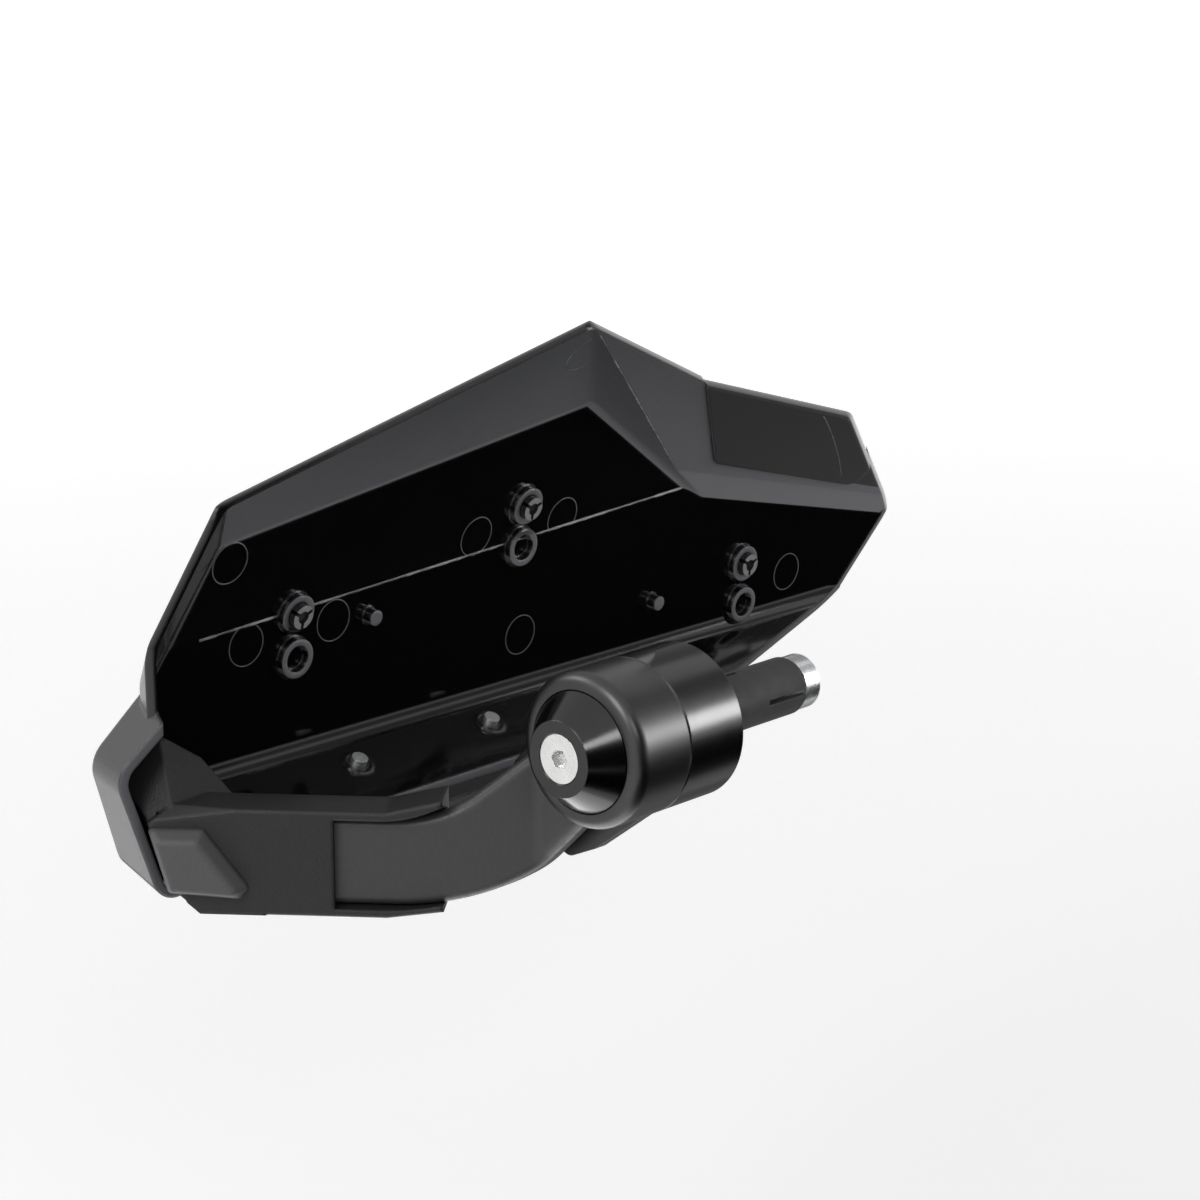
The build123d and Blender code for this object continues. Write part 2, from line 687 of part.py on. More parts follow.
foot_plane = Plane(origin=bottom.offset(wall).origin, x_dir=(1, 0, 0), z_dir=bottom.z_dir)
with BuildPart() as carrier:
    add(beam(0))
    fillet(faces().sort_by(Axis(carrier_face.origin, outward))[-1].edges(), carrier_round)
    add(faceted(end_sides))
    with BuildSketch(foot_plane):
        with BuildLine():
            Polyline(*foot_corners, close=True)
        make_face()
        fillet(vertices().group_by(Axis.X)[-1], foot_corner)
    extrude(amount=foot_thickness)
    add(window.part, mode=Mode.SUBTRACT)
    add(arm_blank(carrier_clearance), mode=Mode.SUBTRACT)
    with BuildSketch(carrier_face):
        with Locations(bolt_spot):
            Circle(bolt_radius + bolt_clearance)
    extrude(amount=-face_offset, mode=Mode.SUBTRACT)
    for spot in foot_spots:
        with BuildSketch(spot.offset(-wall)):
            Circle(foot_screw_radius + foot_screw_clearance)
        extrude(amount=-2 * foot_thickness, mode=Mode.SUBTRACT)
carrier.part.label = "carrier"
export_step(carrier.part, "parts/carrier.step")

with BuildPart() as arm_bolt:
    with BuildSketch(carrier_face):
        with Locations(bolt_spot):
            Circle(bolt_radius)
    extrude(amount=-bolt_length)
    with BuildSketch(carrier_face):
        with Locations(bolt_spot):
            Circle(bolt_head_radius)
    extrude(amount=bolt_head_height, taper=bolt_head_taper)
    with BuildSketch(carrier_face.offset(bolt_head_height)):
        with Locations(bolt_spot):
            RegularPolygon(bolt_socket / 2, 6, major_radius=False)
    extrude(amount=-bolt_head_height / 2, mode=Mode.SUBTRACT)
arm_bolt.part.label = "arm_bolt"
export_step(arm_bolt.part, "parts/arm_bolt.step")

with BuildPart() as plug:
    add(faceted(plug_sides()))
    seat = fold(plug.edges(), carrier_face, carrier_face)
    fillet([e for e in plug.edges() if e not in seat], plug_round)
    with BuildSketch(carrier_face):
        with Locations(bolt_spot):
            Circle(bolt_head_radius + bolt_clearance)
    extrude(amount=plug_height - plug_roof, mode=Mode.SUBTRACT)
plug.part.label = "plug"
export_step(plug.part, "parts/plug.step")
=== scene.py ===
# %% [markdown]
# # Dressing a motorcycle hand guard
# A black shell shields the rider's hand. A bent flat bar carries it from the bar end, and a
# grained plastic carrier joins the two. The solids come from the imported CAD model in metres, so
# this lesson never moves or reshapes them. It adds the finishes and the fine mould marks, and then
# the floor, the light and the camera.

# %% Load the solids
import bmesh
import bpy
import math
from mathutils import Matrix, Vector


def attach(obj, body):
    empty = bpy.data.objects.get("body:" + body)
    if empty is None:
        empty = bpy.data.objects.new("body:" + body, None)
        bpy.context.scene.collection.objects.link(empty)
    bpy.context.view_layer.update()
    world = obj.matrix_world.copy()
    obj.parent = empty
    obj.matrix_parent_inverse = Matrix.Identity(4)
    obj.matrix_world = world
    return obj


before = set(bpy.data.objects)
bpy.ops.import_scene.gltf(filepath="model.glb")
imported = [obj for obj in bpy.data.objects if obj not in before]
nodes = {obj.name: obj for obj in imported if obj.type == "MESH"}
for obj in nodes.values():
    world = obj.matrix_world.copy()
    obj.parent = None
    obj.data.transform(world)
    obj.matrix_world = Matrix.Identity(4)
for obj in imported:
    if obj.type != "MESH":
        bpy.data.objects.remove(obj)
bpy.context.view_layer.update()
MM = 0.001
print("solids:", ", ".join(sorted(nodes)))

# %% [markdown]
# ## Smooth or flat
# The solids arrive as triangles. A turned ring should shade as one round surface and a fold of
# the shell as a crisp edge. Smoothing by angle gives both at once: faces that meet gently share a
# normal and faces that meet sharply do not. Only the shading changes, the points stay.

# %% Shade the solids by angle
SMOOTH_BELOW = math.radians(24)
for name, solid in nodes.items():
    solid.data.shade_smooth()
    solid.data.set_sharp_from_angle(angle=SMOOTH_BELOW)
print("smoothed below", round(math.degrees(SMOOTH_BELOW)), "degrees:", len(nodes), "solids")

# %% [markdown]
# ## A small kit for finishes
# Every finish here is the same idea: one shader, and a few noise patterns that vary its colour,
# its roughness and its bumps. The patterns use object coordinates, which are metres in the
# object's own frame, so a noise scale of 2500 makes grains of about 0.4 mm. Seven short helpers
# keep each finish readable. The first four start a material, add a noise, turn it into a number
# and mix two colours with it. The others bend the normal and put a finish on a solid.

# %% Helpers that start and vary a finish
def start_finish(name, roughness, metallic=0.0):
    """A new material; returns its node tree, its shader and metres in the object's frame."""
    finish = bpy.data.materials.new(name)
    finish.use_nodes = True
    tree = finish.node_tree
    shader = tree.nodes["Principled BSDF"]
    shader.inputs["Roughness"].default_value = roughness
    shader.inputs["Metallic"].default_value = metallic
    place = tree.nodes.new("ShaderNodeTexCoord").outputs["Object"]
    return finish, tree, shader, place


def grain(tree, place, per_metre, detail=2.0, stretch=(1, 1, 1)):
    """Noise from 0 to 1 with so many grains to the metre, drawn out by stretch."""
    scale = tree.nodes.new("ShaderNodeMapping")
    scale.inputs["Scale"].default_value = stretch
    noise = tree.nodes.new("ShaderNodeTexNoise")
    noise.inputs["Scale"].default_value = per_metre
    noise.inputs["Detail"].default_value = detail
    tree.links.new(place, scale.inputs["Vector"])
    tree.links.new(scale.outputs["Vector"], noise.inputs["Vector"])
    return noise.outputs["Fac"]


def between(tree, factor, low, high, start=0.3, end=0.7):
    """A number that goes from low to high as the factor goes from start to end."""
    ramp = tree.nodes.new("ShaderNodeMapRange")
    for socket, value in zip(("From Min", "From Max", "To Min", "To Max"), (start, end, low, high)):
        ramp.inputs[socket].default_value = value
    tree.links.new(factor, ramp.inputs["Value"])
    return ramp.outputs["Result"]


def tint(tree, factor, dark, light):
    """A colour between two colours, chosen by a factor."""
    mix = tree.nodes.new("ShaderNodeMix")
    mix.data_type = "RGBA"
    mix.inputs["A"].default_value = (*dark, 1)
    mix.inputs["B"].default_value = (*light, 1)
    tree.links.new(factor, mix.inputs["Factor"])
    return mix.outputs["Result"]


print("start_finish, grain, between and tint ready")

# %% Helpers for bumps and edges
def bump(tree, height, depth, under=None):
    """A normal bent by a height pattern that is depth metres deep, over another bump."""
    node = tree.nodes.new("ShaderNodeBump")
    node.inputs["Strength"].default_value = 1.0
    node.inputs["Distance"].default_value = depth
    tree.links.new(height, node.inputs["Height"])
    if under is not None:
        tree.links.new(under, node.inputs["Normal"])
    return node.outputs["Normal"]


def soft_edges(tree, radius):
    """A normal that rounds sharp edges over a small radius, as moulds and tumblers do."""
    node = tree.nodes.new("ShaderNodeBevel")
    node.samples = 6
    node.inputs["Radius"].default_value = radius
    return node.outputs["Normal"]


def wear(name, finish):
    """Puts a finish on one CAD node."""
    nodes[name].data.materials.clear()
    nodes[name].data.materials.append(finish)


print("bump, soft_edges and wear ready")

# %% [markdown]
# ## Where the shell's facets lie
# The shell is folded from flat facets, and some of its finish and its marks belong to one facet
# alone. A facet is a point and a direction. The direction is written as a heading from +Y towards
# +X and a pitch upward, in degrees, the way a maker would set an angle plate.

# %% Facets of the shell's inner face
def facing(heading, pitch):
    """Unit vector from degrees: heading from +Y towards +X, pitch upward."""
    h, p = math.radians(heading), math.radians(pitch)
    return Vector((math.sin(h) * math.cos(p), math.cos(h) * math.cos(p), math.sin(p)))


PANEL_POINT = Vector((15, 100, 14.3)) * MM
PEAK = Vector((40.2, 64.7, 76.5)) * MM
UPPER_HALF = (PANEL_POINT, facing(0, 14.5))
LOWER_HALF = (PANEL_POINT, facing(0.4, 6.5))
ROOF = (Vector((-50, 94.7, 34.8)) * MM, facing(-4.8, 41.9))
WING = (PEAK, facing(10.2, 39.3))
PEAK_FLANK = (Vector((72.4, 95.9, 44.9)) * MM, facing(55.2, 54.3))
PAD_ACROSS = Vector((WING[1].y, -WING[1].x, 0)).normalized()
PAD_UP = PAD_ACROSS.cross(WING[1])


def on_facet(facet, x, z):
    """Point of a steep facet, from its x and z in millimetres."""
    point, normal = facet
    flat = Vector((x * MM - point.x, 0, z * MM - point.z))
    return Vector((x * MM, point.y - flat.dot(normal) / normal.y, z * MM))


def pad_point(across, up):
    """Point of the wing, in millimetres across and up from the peak."""
    return PEAK + PAD_ACROSS * across * MM + PAD_UP * up * MM


print("pad axes:", [round(v, 3) for v in PAD_ACROSS], [round(v, 3) for v in PAD_UP])

# %% [markdown]
# ## The shell: three finishes in one moulding
# The shell is injection moulded black plastic, and its mould is finished in three ways. The panel
# and the bottom wall are polished until they mirror the room. The facets above and beside them
# and the ends of the bosses are finely etched, so they shade like dark satin, but for the smooth
# pad on the wing. Their colour is painted paler deep in the mould and darker near the rim: painted
# light and shade, not a change of the etch. The side towards the wind has a fine grain. Three
# materials would need the faces sorted by hand. The shape makes it easier: the direction that a
# face looks in, and at a few places its position, tell which finish it wears.

# %% Colours and borders of the shell's finishes
POLISHED_BLACK = (0.0022, 0.0022, 0.0024)
# The two etched blacks run from the rim to deep in the mould over the two depths along y: painted
# light and shade, not a second finish.
ETCHED_BLACKS_PAINTED_LIGHT = (0.03, 0.031, 0.034), (0.108, 0.109, 0.118)
GRAINED_BLACK = (0.016, 0.016, 0.017)
POLISHED_ROUGH, ETCHED_ROUGH, GRAIN_ADDS = 0.07, 0.34, 0.1
PAINTED_LIGHT_DEPTHS = (66 * MM, 99 * MM)
END_STARTS = (150 * MM, 152 * MM)
BOSS_FOOT = 1.5 * MM
PAD_EDGE = 0.4 * MM
PAD_CORNER = pad_point(71.3, -65)
PAD_FROM_LEFT = (PAD_ACROSS * 0.8555 + PAD_UP * 0.519).normalized()
PAD_FROM_BELOW = (PAD_ACROSS * 0.34 + PAD_UP * 0.9405).normalized()
ETCH_ON_PAD = 0.12
WAVE_DEPTH, PIT_DEPTH = 0.00012, 0.00006
FOLD_SOFTNESS = 1.3 * MM
print("pad corner in mm:", [round(v / MM, 1) for v in PAD_CORNER])


# %% Finish of the shell
def shell_finish():
    finish, tree, shader, place = start_finish("black_shell_plastic", 0.1)
    link = tree.links.new

    def combine(kind, one, other):
        node = tree.nodes.new("ShaderNodeMath")
        node.operation = kind
        link(one, node.inputs[0])
        link(other, node.inputs[1])
        return node.outputs["Value"]

    def beyond(direction, point, fade):
        node = tree.nodes.new("ShaderNodeVectorMath")
        node.operation = "DOT_PRODUCT"
        link(place, node.inputs[0])
        node.inputs[1].default_value = direction
        edge = direction.dot(point)
        return between(tree, node.outputs["Value"], 0, 1, edge, edge + fade)

    parts = tree.nodes.new("ShaderNodeSeparateXYZ")
    link(tree.nodes.new("ShaderNodeNewGeometry").outputs["True Normal"], parts.inputs["Vector"])
    outside = between(tree, parts.outputs["Y"], 0, 1, 0.05, 0.15)
    leaning = combine("MULTIPLY", between(tree, parts.outputs["Z"], 1, 0, -0.40, -0.30),
                      between(tree, parts.outputs["X"], 1, 0, 0.20, 0.35))
    where = tree.nodes.new("ShaderNodeSeparateXYZ")
    link(place, where.inputs["Vector"])
    sideways = combine("MULTIPLY", between(tree, parts.outputs["X"], 1, 0, -0.42, -0.30),
                       between(tree, where.outputs["X"], 0, 1, *END_STARTS))
    left = beyond(PAD_FROM_LEFT, PAD_CORNER, PAD_EDGE)
    above = beyond(PAD_FROM_BELOW, PAD_CORNER, PAD_EDGE)
    not_pad = between(tree, combine("MULTIPLY", left, above), 1, ETCH_ON_PAD, 0, 1)
    etched = combine("MULTIPLY", combine("MAXIMUM", leaning, sideways), not_pad)
    proud = [beyond(-half[1], PANEL_POINT - half[1] * BOSS_FOOT, PAD_EDGE)
             for half in (UPPER_HALF, LOWER_HALF)]
    boss_end = combine("MULTIPLY", combine("MULTIPLY", *proud),
                       between(tree, parts.outputs["Y"], 1, 0, -0.96, -0.93))
    etched = combine("MAXIMUM", etched, boss_end)
    speckle = grain(tree, place, 1500, 3)
    roughness = between(tree, etched, POLISHED_ROUGH, ETCHED_ROUGH, 0, 1)
    roughness = combine("ADD", roughness, between(tree, outside, 0, GRAIN_ADDS, 0, 1))
    roughness = combine("ADD", roughness, between(tree, speckle, -0.03, 0.05))
    link(roughness, shader.inputs["Roughness"])
    # Painted light and shade: the etched black is painted paler with depth along y, from the rim
    # towards the folds.
    etch_painted_light = tint(tree, between(tree, where.outputs["Y"], 0, 1, *PAINTED_LIGHT_DEPTHS), *ETCHED_BLACKS_PAINTED_LIGHT)
    inner = tint(tree, etched, POLISHED_BLACK, POLISHED_BLACK)
    link(etch_painted_light, inner.node.inputs["B"])
    colour = tint(tree, outside, POLISHED_BLACK, GRAINED_BLACK)
    link(inner, colour.node.inputs["A"])
    link(colour, shader.inputs["Base Color"])
    wavy = bump(tree, grain(tree, place, 45, 2), WAVE_DEPTH, soft_edges(tree, FOLD_SOFTNESS))
    pits = combine("MULTIPLY", combine("MAXIMUM", outside, etched), grain(tree, place, 1900, 2))
    link(bump(tree, pits, PIT_DEPTH, wavy), shader.inputs["Normal"])
    return finish


shell_black = shell_finish()
wear("shell", shell_black)
print("shell finish has", len(shell_black.node_tree.nodes), "nodes")

# %% [markdown]
# ## Grained plastic: carrier, plug and rivet pins
# The carrier and its plug are glass filled nylon, matt and coarse grained so that scratches hide.
# One maker's recipe serves all of them with a lighter or darker black: fine noise for the grain,
# broad noise for the slightly uneven sheen of a moulding, and softened edges.

# %% Finish of the grained plastic
def grained_plastic(name, dark, light, rough, depth, mirror=0.3, edge=0.4):
    finish, tree, shader, place = start_finish(name, rough)
    shader.inputs["Specular IOR Level"].default_value = mirror
    fine = grain(tree, place, 2300, 3)
    broad = grain(tree, place, 60, 2)
    black = tint(tree, fine, (dark,) * 3, (light, light, light * 1.03))
    tree.links.new(black, shader.inputs["Base Color"])
    tree.links.new(between(tree, broad, rough - 0.06, rough + 0.06), shader.inputs["Roughness"])
    tree.links.new(bump(tree, fine, depth, soft_edges(tree, edge * MM)), shader.inputs["Normal"])
    return finish


wear("carrier", grained_plastic("carrier_nylon", 0.010, 0.022, 0.46, 0.00011, edge=1.2))
wear("plug", grained_plastic("plug_nylon", 0.055, 0.08, 0.46, 0.00009, edge=2.0))
wear("clip_pins", grained_plastic("rivet_pin_nylon", 0.008, 0.014, 0.2, 0.00002, 0.6))
print("grained plastic on carrier, plug and clip_pins")

# %% [markdown]
# ## The claws of the rivets
# A push rivet spreads three claws behind the panel. Its head is as black as the shell, and the
# cut ends of the claws are painted pale grey: a painted highlight for the glints they catch. The
# ends look towards the rider, so the direction of a face picks them out once more.

# %% Finish of the rivet bodies
HEAD_BLACK, GLINT_GREY_PAINTED = (0.014, 0.014, 0.015), (0.19, 0.19, 0.19)


def rivet_finish():
    finish, tree, shader, place = start_finish("rivet_nylon", 0.2)
    parts = tree.nodes.new("ShaderNodeSeparateXYZ")
    geometry = tree.nodes.new("ShaderNodeNewGeometry")
    tree.links.new(geometry.outputs["True Normal"], parts.inputs["Vector"])
    ends = between(tree, parts.outputs["Y"], 1, 0, -0.9, -0.6)
    # Painted highlight: the faces that look towards the rider are painted pale grey for the glints
    # on the claw ends.
    tree.links.new(tint(tree, ends, HEAD_BLACK, GLINT_GREY_PAINTED), shader.inputs["Base Color"])
    patch_noise = grain(tree, place, 2600, 3)
    tree.links.new(between(tree, patch_noise, 0.14, 0.3), shader.inputs["Roughness"])
    tree.links.new(bump(tree, patch_noise, 0.00002, soft_edges(tree, 0.3 * MM)), shader.inputs["Normal"])
    return finish


wear("clip_bodies", rivet_finish())
print("pale claw ends on clip_bodies")

# %% [markdown]
# ## Powder coat: the arm
# The bent bar wears a satin powder coat. Baked powder never lies quite flat: it keeps a slight
# orange peel, about a millimetre from crest to crest, and a fine sparkle. Both are bumps, so the
# highlight along the rounded edges breaks up as it does on the real coat.

# %% Finish of the coated metal
def powder_coat(name, dark, light, rough, peel_depth):
    finish, tree, shader, place = start_finish(name, rough)
    shader.inputs["Specular IOR Level"].default_value = 0.35
    peel = grain(tree, place, 850, 1)
    sparkle = grain(tree, place, 3200, 2)
    black = tint(tree, sparkle, (dark,) * 3, (light, light, light * 1.04))
    tree.links.new(black, shader.inputs["Base Color"])
    tree.links.new(between(tree, peel, rough - 0.05, rough + 0.05), shader.inputs["Roughness"])
    peeled = bump(tree, peel, peel_depth, soft_edges(tree, 0.4 * MM))
    tree.links.new(bump(tree, sparkle, 0.00002, peeled), shader.inputs["Normal"])
    return finish


wear("arm", powder_coat("arm_powder_coat", 0.03, 0.045, 0.4, 0.00005))
print("powder coat on arm")

# %% [markdown]
# ## Black anodising: hub, spacer and end cap
# The hub, the spacer and the cap are turned aluminium, dyed black in the anodising bath. The dye
# drinks most of the light and the metal below still mirrors the rest, so the shader is a very
# dark metal: deep black between bright bands. The hub was blasted first, so its band is broad and
# soft. The lathe leaves fine rings that run round the bar. Noise that varies along the bar alone
# draws them.

# %% Finish of the anodised parts
def anodised(name, dark, light, rough, ring_depth):
    finish, tree, shader, place = start_finish(name, rough, 1.0)
    split = tree.nodes.new("ShaderNodeSeparateXYZ")
    tree.links.new(place, split.inputs["Vector"])
    along = tree.nodes.new("ShaderNodeCombineXYZ")
    tree.links.new(split.outputs["X"], along.inputs["X"])
    rings = grain(tree, along.outputs["Vector"], 2600, 2)
    cloud = grain(tree, place, 120, 2)
    tree.links.new(tint(tree, cloud, (dark,) * 3, (light,) * 3), shader.inputs["Base Color"])
    tree.links.new(between(tree, rings, rough - 0.015, rough + 0.015), shader.inputs["Roughness"])
    turned = bump(tree, rings, ring_depth, soft_edges(tree, 0.35 * MM))
    tree.links.new(turned, shader.inputs["Normal"])
    return finish


wear("hub", anodised("hub_anodised", 0.055, 0.07, 0.36, 0.0000004))
wear("spacer", anodised("spacer_anodised", 0.055, 0.066, 0.25, 0.0000004))
wear("cap", anodised("cap_anodised", 0.042, 0.052, 0.2, 0.0000004))
print("anodising on hub, spacer and cap")

# %% [markdown]
# ## Bare metal: screws, washers, cones and inserts
# The bar screw is stainless steel, the screws and washers of the feet are bright zinc, the cones of
# the expander are plain turned aluminium, and the pressed-in nuts and the arm's bolt are blackened
# steel. Bare metal takes its look from what it mirrors, so its roughness does the work: fine
# streaks from the tool and faint tarnish.

# %% Finish of the bare metal
def bare_metal(name, dark, light, rough, streak=(1, 1, 1)):
    finish, tree, shader, place = start_finish(name, rough, 1.0)
    streaks = grain(tree, place, 1400, 3, streak)
    cloud = grain(tree, place, 220, 2)
    tree.links.new(tint(tree, cloud, dark, light), shader.inputs["Base Color"])
    tree.links.new(between(tree, streaks, rough - 0.07, rough + 0.07), shader.inputs["Roughness"])
    scored = bump(tree, streaks, 0.00001, soft_edges(tree, 0.15 * MM))
    tree.links.new(scored, shader.inputs["Normal"])
    return finish


STEEL_DARK, STEEL_LIGHT = (0.56, 0.56, 0.55), (0.72, 0.72, 0.71)
stainless = bare_metal("stainless_steel", STEEL_DARK, STEEL_LIGHT, 0.24)
turned_aluminium = bare_metal("turned_aluminium", (0.62, 0.63, 0.64), (0.74, 0.75, 0.76), 0.3,
                              streak=(6, 0.3, 0.3))
bright_zinc = bare_metal("bright_zinc", (0.74, 0.75, 0.76), (0.86, 0.87, 0.88), 0.42)
blackened = bare_metal("blackened_steel", (0.08, 0.08, 0.08), (0.14, 0.14, 0.14), 0.38)
for piece, metal in (("bar_screw", stainless),
                     ("foot_screws", bright_zinc), ("foot_washers", bright_zinc),
                     ("front_cone", turned_aluminium), ("cone_nut", turned_aluminium),
                     ("foot_inserts", blackened), ("arm_bolt", blackened)):
    wear(piece, metal)
print("bare metal on screws, washers, cones, inserts and bolt")

# %% [markdown]
# ## The rubber sleeve of the expander
# Inside the bar a slit rubber sleeve swells when the screw pulls its two cones together. Moulded
# rubber is dull and a little dusty, with a chalky bloom that gathers in patches.

# %% Finish of the rubber sleeve
def sleeve_rubber():
    finish, tree, shader, place = start_finish("sleeve_rubber", 0.72)
    bloom = grain(tree, place, 300, 4)
    skin = grain(tree, place, 1600, 2)
    chalky = tint(tree, bloom, (0.016, 0.016, 0.016), (0.034, 0.034, 0.035))
    tree.links.new(chalky, shader.inputs["Base Color"])
    tree.links.new(between(tree, bloom, 0.62, 0.82), shader.inputs["Roughness"])
    tree.links.new(bump(tree, skin, 0.00006, soft_edges(tree, 0.3 * MM)), shader.inputs["Normal"])
    return finish


wear("expander_sleeve", sleeve_rubber())
print("rubber on expander_sleeve")

# %% [markdown]
# ## Mould marks inside the shell
# Ejector pins push the shell out of its mould and leave thin raised rings on the polished side.
# A bump pattern would shimmer at this size, so each ring is a real bead of plastic with a radius
# of 0.2 mm, sunk into the panel so that its crown alone catches the light. The facet that a
# ring lies on gives it its place and its tilt. These witness lines are never polished, so they
# wear a paler, rougher black than the face around them.

# %% Ejector rings
def bead(mesh, path, radius, sides=6, closed=True):
    """Adds a round bead along a list of (point, across, up) frames."""
    turns = [2 * math.pi * i / sides for i in range(sides)]
    rows = []
    for point, across, up in path:
        rows.append([mesh.verts.new(point + (across * math.cos(t) + up * math.sin(t)) * radius)
                     for t in turns])
    count = len(rows) if closed else len(rows) - 1
    for i in range(count):
        first, second = rows[i], rows[(i + 1) % len(rows)]
        for k in range(sides):
            mesh.faces.new((first[k], first[(k + 1) % sides], second[(k + 1) % sides], second[k]))
    if not closed:
        mesh.faces.new(rows[0])
        mesh.faces.new(reversed(rows[-1]))


def piece_from(mesh, name, finish):
    """Turns a bmesh into a smooth piece that rides on the object."""
    bmesh.ops.recalc_face_normals(mesh, faces=mesh.faces)
    data = bpy.data.meshes.new(name)
    mesh.to_mesh(data)
    mesh.free()
    data.shade_smooth()
    data.materials.append(finish)
    piece = bpy.data.objects.new(name, data)
    bpy.context.scene.collection.objects.link(piece)
    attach(piece, "root")
    return piece


RING_RADIUS = 5.3 * MM
BEAD = 0.2 * MM
BEAD_SUNK = 0.08 * MM
ring_marks = [(UPPER_HALF, -50.9, 29.2), (LOWER_HALF, -42.2, 6.6), (LOWER_HALF, -14.2, 7.1),
              (UPPER_HALF, 64.8, 19.4), (UPPER_HALF, 33.0, 19.9), (LOWER_HALF, 161.0, -14.3),
              (LOWER_HALF, 52.8, -10.6)]


def ring_path(centre, normal, radius, steps=56):
    """Frames round a circle that lies in a plane."""
    side = normal.orthogonal().normalized()
    other = normal.cross(side)
    path = []
    for i in range(steps):
        turn = 2 * math.pi * i / steps
        out = side * math.cos(turn) + other * math.sin(turn)
        path.append((centre + out * radius, out, normal))
    return path


rings = bmesh.new()
for half, x, z in ring_marks:
    centre = on_facet(half, x, z) + half[1] * BEAD_SUNK
    bead(rings, ring_path(centre, half[1], RING_RADIUS), BEAD)
witness_line = grained_plastic("witness_line", 0.05, 0.09, 0.3, 0.00002, 0.5)
ejector_rings = piece_from(rings, "ejector_rings", witness_line)
print("ejector rings:", len(ring_marks), "with", len(ejector_rings.data.polygons), "faces")

# %% [markdown]
# ## Two lone marks, on the roof and on the pad
# One ejector pin stood right at the fold beside the peak, so the roof shows the near half of its
# ring. A joint of the mould left a faint curved line on the wing's pad. Both are open beads.

# %% Half ring on the roof and line on the pad
HALF_RING_RADIUS = 6.6 * MM
HALF_RING_STEPS = 64
JOINT_STEPS = 12
JOINT_BOW = 0.9 * MM
lone = bmesh.new()
pin = Vector((46.0, 72.5, 68.4)) * MM
full_ring = ring_path(pin + ROOF[1] * BEAD_SUNK, ROOF[1], HALF_RING_RADIUS, HALF_RING_STEPS)
half_ring = [step for step in full_ring
             if (step[0] - PEAK_FLANK[0]).dot(PEAK_FLANK[1]) < -BEAD]
gap = max(range(len(half_ring)), key=lambda i: (half_ring[i][0] - half_ring[i - 1][0]).length)
bead(lone, half_ring[gap:] + half_ring[:gap], BEAD, closed=False)
joint_ends = Vector((145.9, 77.7, 36.4)) * MM, Vector((173.2, 92.6, 12.6)) * MM
joint_across = (joint_ends[1] - joint_ends[0]).normalized().cross(WING[1])
joint = []
for i in range(JOINT_STEPS + 1):
    t = i / JOINT_STEPS
    bow = joint_across * (JOINT_BOW * 4 * t * (1 - t))
    point = joint_ends[0].lerp(joint_ends[1], t) + bow + WING[1] * BEAD_SUNK
    joint.append((point, joint_across, WING[1]))
bead(lone, joint, BEAD, closed=False)
piece_from(lone, "lone_marks", witness_line)
print("lone marks:", len(half_ring), "steps of a ring and a line of",
      round((joint_ends[1] - joint_ends[0]).length / MM, 1), "mm")

# %% [markdown]
# ## Fine lines along the folds
# Where two facets meet, two blocks of the mould met as well, and a fine raised line stays on the
# moulding. The plainest one runs along the very flat fold across the panel, a shorter one from
# the peak down between its flank and the wing. Each is a bead along the common line of two facets.
# Its finish is rougher in patches, and those patches are painted pale: a painted highlight for the
# broken glints along the line.

# %% Beads along two folds
FOLD_BEAD = 0.4 * MM
FOLD_STEPS = 80
FOLD_WANDER = 0.12 * MM
WANDER_TURN = 2.3
RUBS_PER_METRE = 75


def fold_frame(one, other, x):
    """Frame at a given x on the line where two facets meet."""
    line = one[1].cross(other[1]).normalized()
    level = Matrix((one[1], other[1], Vector((1, 0, 0))))
    point = level.inverted() @ Vector((one[1].dot(one[0]), other[1].dot(other[0]), x * MM))
    up = (one[1] + other[1]).normalized()
    return point + up * BEAD_SUNK, line.cross(up), up


def fold_finish():
    """Black with patches painted pale as a broken highlight, rougher there."""
    finish, tree, shader, place = start_finish("fold_line", 0.3)
    patch_noise = between(tree, grain(tree, place, RUBS_PER_METRE, 3), 0, 1, 0.40, 0.60)
    # Painted highlight: the pale patches stand for the broken glints along the fold line.
    tree.links.new(tint(tree, patch_noise, (0.04,) * 3, (0.24, 0.24, 0.25)), shader.inputs["Base Color"])
    tree.links.new(between(tree, patch_noise, 0.2, 0.36, 0, 1), shader.inputs["Roughness"])
    fine = grain(tree, place, 2300, 3)
    tree.links.new(bump(tree, fine, 0.00004, soft_edges(tree, 0.4 * MM)), shader.inputs["Normal"])
    return finish


fold_mesh = bmesh.new()
for one, other, start, end, thick in ((UPPER_HALF, LOWER_HALF, -57, 112, FOLD_BEAD),
                                      (PEAK_FLANK, WING, 44, 103, BEAD)):
    steps = [fold_frame(one, other, start + (end - start) * i / FOLD_STEPS)
             for i in range(FOLD_STEPS + 1)]
    uneven = [(point + up * FOLD_WANDER * math.sin(WANDER_TURN * i), across, up)
              for i, (point, across, up) in enumerate(steps)]
    bead(fold_mesh, uneven, thick, 8, closed=False)
    print("fold bead of", round((steps[-1][0] - steps[0][0]).length / MM, 1), "mm")
piece_from(fold_mesh, "fold_beads", fold_finish())

# %% [markdown]
# ## The floor and the room
# The object was shown against white. A pale floor lies well below it, and the world is a soft
# white dome. Rays from the camera and from mirrors see the dome as plain white; for lighting it is
# dimmer, so that black plastic stays black. The floor glows for the same rays, weakly below the
# object, where its own shading and the soft shadow are left to see, and more strongly far away.

# %% World
DOME_LIGHTS, DOME_SEEN = 0.5, 1.0
scene = bpy.context.scene
scene.view_settings.view_transform = "Standard"


